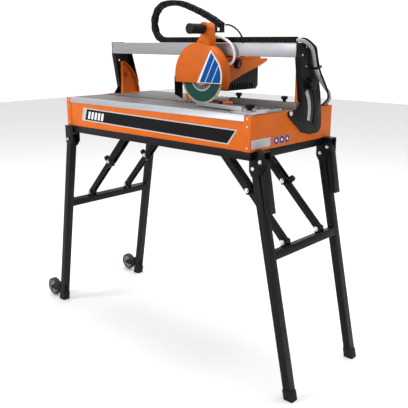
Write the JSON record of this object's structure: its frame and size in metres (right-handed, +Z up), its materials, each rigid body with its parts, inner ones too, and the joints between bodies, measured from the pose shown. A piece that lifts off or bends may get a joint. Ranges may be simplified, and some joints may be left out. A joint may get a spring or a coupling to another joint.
{
  "type": "bridge tile saw",
  "caption": "Bridge tile saw: water tray with ribbed table, tilting overhead rail, sliding blade head and a folding leg stand with transport wheels.",
  "frame": {"origin": "on the ground, under the middle of the bounding box", "axes": "+X along the rail and the cut, towards the end without wheels; +Y from the operator's side to the back; +Z up"},
  "size_m": [1.3388, 0.485, 1.2734],
  "materials": {
    "orange_paint": "satin powder coat",
    "black_paint": "satin powder coat",
    "bare_aluminium": "satin extruded",
    "dark_aluminium": "anodised",
    "bright_steel": "zinc plated",
    "blade_steel": "painted core with a sintered rim",
    "black_plastic": "fine grained",
    "black_rubber": "matte",
    "pan_plastic": "matte",
    "wheel_plastic": "matte hub with a darker tread",
    "line_rubber": "matte",
    "clear_hose": "translucent",
    "switch_plastic": "gloss"
  },
  "bodies": {
    "base": {"long_panels": "orange_paint", "end_panels": "orange_paint", "water_pan": "pan_plastic", "base_frame": "black_paint", "table_front": "bare_aluminium", "table_rear": "bare_aluminium", "front_trim": "bare_aluminium", "tilt_lugs": "orange_paint", "hinge_brackets": "black_paint", "base_fasteners": "bright_steel", "water_pump": "black_plastic", "tray_fittings": "black_plastic"},
    "tilt_knob_left": {"tilt_knob_left": "black_plastic"},
    "tilt_knob_right": {"tilt_knob_right": "black_plastic"},
    "right_stand": {"right_legs": "black_paint", "right_crossbar": "black_paint", "right_foot_caps": "black_rubber"},
    "left_stand": {"left_legs": "black_paint", "left_crossbar": "black_paint", "left_foot_caps": "black_rubber", "wheel_brackets": "black_paint"},
    "wheel_front": {"wheel_front": "wheel_plastic"},
    "wheel_rear": {"wheel_rear": "wheel_plastic"},
    "right_upper_links": {"right_upper_links": "black_paint"},
    "right_lower_links": {"right_lower_links": "black_paint"},
    "left_upper_links": {"left_upper_links": "black_paint"},
    "left_lower_links": {"left_lower_links": "black_paint"},
    "right_lock_knobs": {"right_lock_knobs": "black_plastic"},
    "left_lock_knobs": {"left_lock_knobs": "black_plastic"},
    "carry_handle_front": {"carry_handle_front": "black_paint"},
    "carry_handle_rear": {"carry_handle_rear": "black_paint"},
    "bridge": {"rail": "bare_aluminium", "bracket_left": "black_paint", "bracket_right": "black_paint", "bridge_bolts": "bright_steel", "bridge_lines": "line_rubber", "chain_lower": "black_plastic"},
    "chain_bend": {"chain_bend": "black_plastic"},
    "chain_top": {"chain_upper": "black_plastic"},
    "carriage": {"carriage_plate": "orange_paint", "guard_shell": "orange_paint", "guard_cover": "orange_paint", "splash_flap": "black_rubber", "neck_casting": "orange_paint", "grip": "black_rubber", "motor_shroud": "orange_paint", "motor_body": "black_plastic", "carriage_lines": "clear_hose"},
    "rollers_left": {"roller_pair_left": "bright_steel"},
    "rollers_right": {"roller_pair_right": "bright_steel"},
    "power_switch": {"power_switch": "switch_plastic"},
    "blade": {"blade": "blade_steel", "blade_flanges": "bright_steel", "spindle": "bright_steel"},
    "fence": {"fence_bar": "dark_aluminium"},
    "fence_knob_left": {"fence_knob_left": "black_plastic"},
    "fence_knob_right": {"fence_knob_right": "black_plastic"},
    "angle_guide": {"guide_base": "bare_aluminium"},
    "angle_arm": {"angle_arm": "bare_aluminium"},
    "angle_knob": {"angle_knob": "black_plastic"}
  },
  "joints": [
    {"name": "bridge_tilt", "type": "hinge", "parent": "base", "child": "bridge", "pos_m": [0.02556, -0.03, 0.9], "axis": [1, 0, 0], "range_deg": [0, 45], "deforming": ["bridge_lines"]},
    {"name": "carriage_slide", "type": "slide", "parent": "bridge", "child": "carriage", "axis": [1, 0, 0], "range_m": [-0.35, 0.23]},
    {"name": "rollers_left_roll", "type": "hinge", "parent": "carriage", "child": "rollers_left", "pos_m": [0.05556, 0.0545, 1.0933], "axis": [0, 1, 0], "range_deg": [-1340, 882]},
    {"name": "rollers_right_roll", "type": "hinge", "parent": "carriage", "child": "rollers_right", "pos_m": [0.16456, 0.0545, 1.0933], "axis": [0, 1, 0], "range_deg": [-1340, 882]},
    {"name": "chain_bend_slide", "type": "slide", "parent": "bridge", "child": "chain_bend", "axis": [1, 0, 0], "range_m": [-0.176, 0.116], "deforming": ["chain_lower"]},
    {"name": "chain_top_slide", "type": "slide", "parent": "carriage", "child": "chain_top", "axis": [1, 0, 0], "range_m": [-0.116, 0.176], "deforming": ["chain_upper"]},
    {"name": "blade_spin", "type": "hinge", "parent": "carriage", "child": "blade", "pos_m": [0.11006, -0.03, 1.004], "axis": [0, 1, 0], "continuous": true},
    {"name": "switch_rock", "type": "hinge", "parent": "carriage", "child": "power_switch", "pos_m": [0.20706, 0.06, 1.046], "axis": [0, 1, 0], "range_deg": [-8, 8]},
    {"name": "right_stand_fold", "type": "hinge", "parent": "base", "child": "right_stand", "pos_m": [0.49356, 0, 0.745], "axis": [0, 1, 0], "range_deg": [0, 102]},
    {"name": "left_stand_fold", "type": "hinge", "parent": "base", "child": "left_stand", "pos_m": [-0.43544, 0, 0.742], "axis": [0, -1, 0], "range_deg": [0, 92.7]},
    {"name": "right_upper_link_fold", "type": "hinge", "parent": "base", "child": "right_upper_links", "pos_m": [0.27056, 0, 0.77], "axis": [0, 1, 0], "range_deg": [-38.5, 0.5]},
    {"name": "right_lower_link_fold", "type": "hinge", "parent": "right_stand", "child": "right_lower_links", "pos_m": [0.54689, 0, 0.49513], "axis": [0, 1, 0], "range_deg": [-0.5, 33]},
    {"name": "left_upper_link_fold", "type": "hinge", "parent": "base", "child": "left_upper_links", "pos_m": [-0.21344, 0, 0.7756], "axis": [0, -1, 0], "range_deg": [-37.5, 0.5]},
    {"name": "left_lower_link_fold", "type": "hinge", "parent": "left_stand", "child": "left_lower_links", "pos_m": [-0.47854, 0, 0.49016], "axis": [0, -1, 0], "range_deg": [-0.5, 32]},
    {"name": "right_lock_pull", "type": "slide", "parent": "right_lower_links", "child": "right_lock_knobs", "axis": [0.7052, 0, 0.709], "range_m": [0, 0.006], "stiffness_N_per_m": 400, "springref_m": -0.004},
    {"name": "left_lock_pull", "type": "slide", "parent": "left_lower_links", "child": "left_lock_knobs", "axis": [-0.7327, 0, 0.6805], "range_m": [0, 0.006], "stiffness_N_per_m": 400, "springref_m": -0.004},
    {"name": "front_handle_swing", "type": "hinge", "parent": "base", "child": "carry_handle_front", "pos_m": [0.52106, -0.19, 0.7693], "axis": [0, -1, 0], "range_deg": [0, 85]},
    {"name": "rear_handle_swing", "type": "hinge", "parent": "base", "child": "carry_handle_rear", "pos_m": [0.52106, 0.19, 0.7693], "axis": [0, -1, 0], "range_deg": [0, 85]},
    {"name": "front_wheel_roll", "type": "hinge", "parent": "left_stand", "child": "wheel_front", "pos_m": [-0.63144, -0.22, 0.042], "axis": [0, 1, 0], "continuous": true},
    {"name": "rear_wheel_roll", "type": "hinge", "parent": "left_stand", "child": "wheel_rear", "pos_m": [-0.63144, 0.22, 0.042], "axis": [0, 1, 0], "continuous": true},
    {"name": "left_tilt_knob_turn", "type": "hinge", "parent": "base", "child": "tilt_knob_left", "pos_m": [-0.45444, 0.07189, 0.98857], "axis": [1, 0, 0], "continuous": true},
    {"name": "right_tilt_knob_turn", "type": "hinge", "parent": "base", "child": "tilt_knob_right", "pos_m": [0.50556, 0.07189, 0.98857], "axis": [1, 0, 0], "continuous": true},
    {"name": "fence_slide", "type": "slide", "parent": "base", "child": "fence", "axis": [1, 0, 0], "range_m": [-0.12, 0.0005]},
    {"name": "fence_knob_left_turn", "type": "hinge", "parent": "fence", "child": "fence_knob_left", "pos_m": [0.23656, 0.028, 0.93], "axis": [0, 0, 1], "continuous": true},
    {"name": "fence_knob_right_turn", "type": "hinge", "parent": "fence", "child": "fence_knob_right", "pos_m": [0.43356, 0.028, 0.93], "axis": [0, 0, 1], "continuous": true},
    {"name": "angle_guide_slide", "type": "slide", "parent": "base", "child": "angle_guide", "axis": [1, 0, 0], "range_m": [-0.15, 0.002]},
    {"name": "angle_arm_turn", "type": "hinge", "parent": "angle_guide", "child": "angle_arm", "pos_m": [0.42856, -0.15, 0.911], "axis": [0, 0, 1], "range_deg": [0, 40]},
    {"name": "angle_knob_turn", "type": "hinge", "parent": "angle_guide", "child": "angle_knob", "pos_m": [0.42856, -0.15, 0.93], "axis": [0, 0, 1], "continuous": true}
  ],
  "couplings": [
    {"joint": "rollers_left_roll", "follows": "carriage_slide", "rad_per_m": 66.667},
    {"joint": "rollers_right_roll", "follows": "carriage_slide", "rad_per_m": 66.667},
    {"joint": "chain_bend_slide", "follows": "carriage_slide", "ratio": 0.5},
    {"joint": "chain_top_slide", "follows": "carriage_slide", "ratio": -0.5},
    {"joint": "right_upper_link_fold", "follows": "right_stand_fold", "ratio": -0.37074},
    {"joint": "right_lower_link_fold", "follows": "right_stand_fold", "ratio": 0.31612},
    {"joint": "left_upper_link_fold", "follows": "left_stand_fold", "ratio": -0.39609},
    {"joint": "left_lower_link_fold", "follows": "left_stand_fold", "ratio": 0.33776}
  ]
}
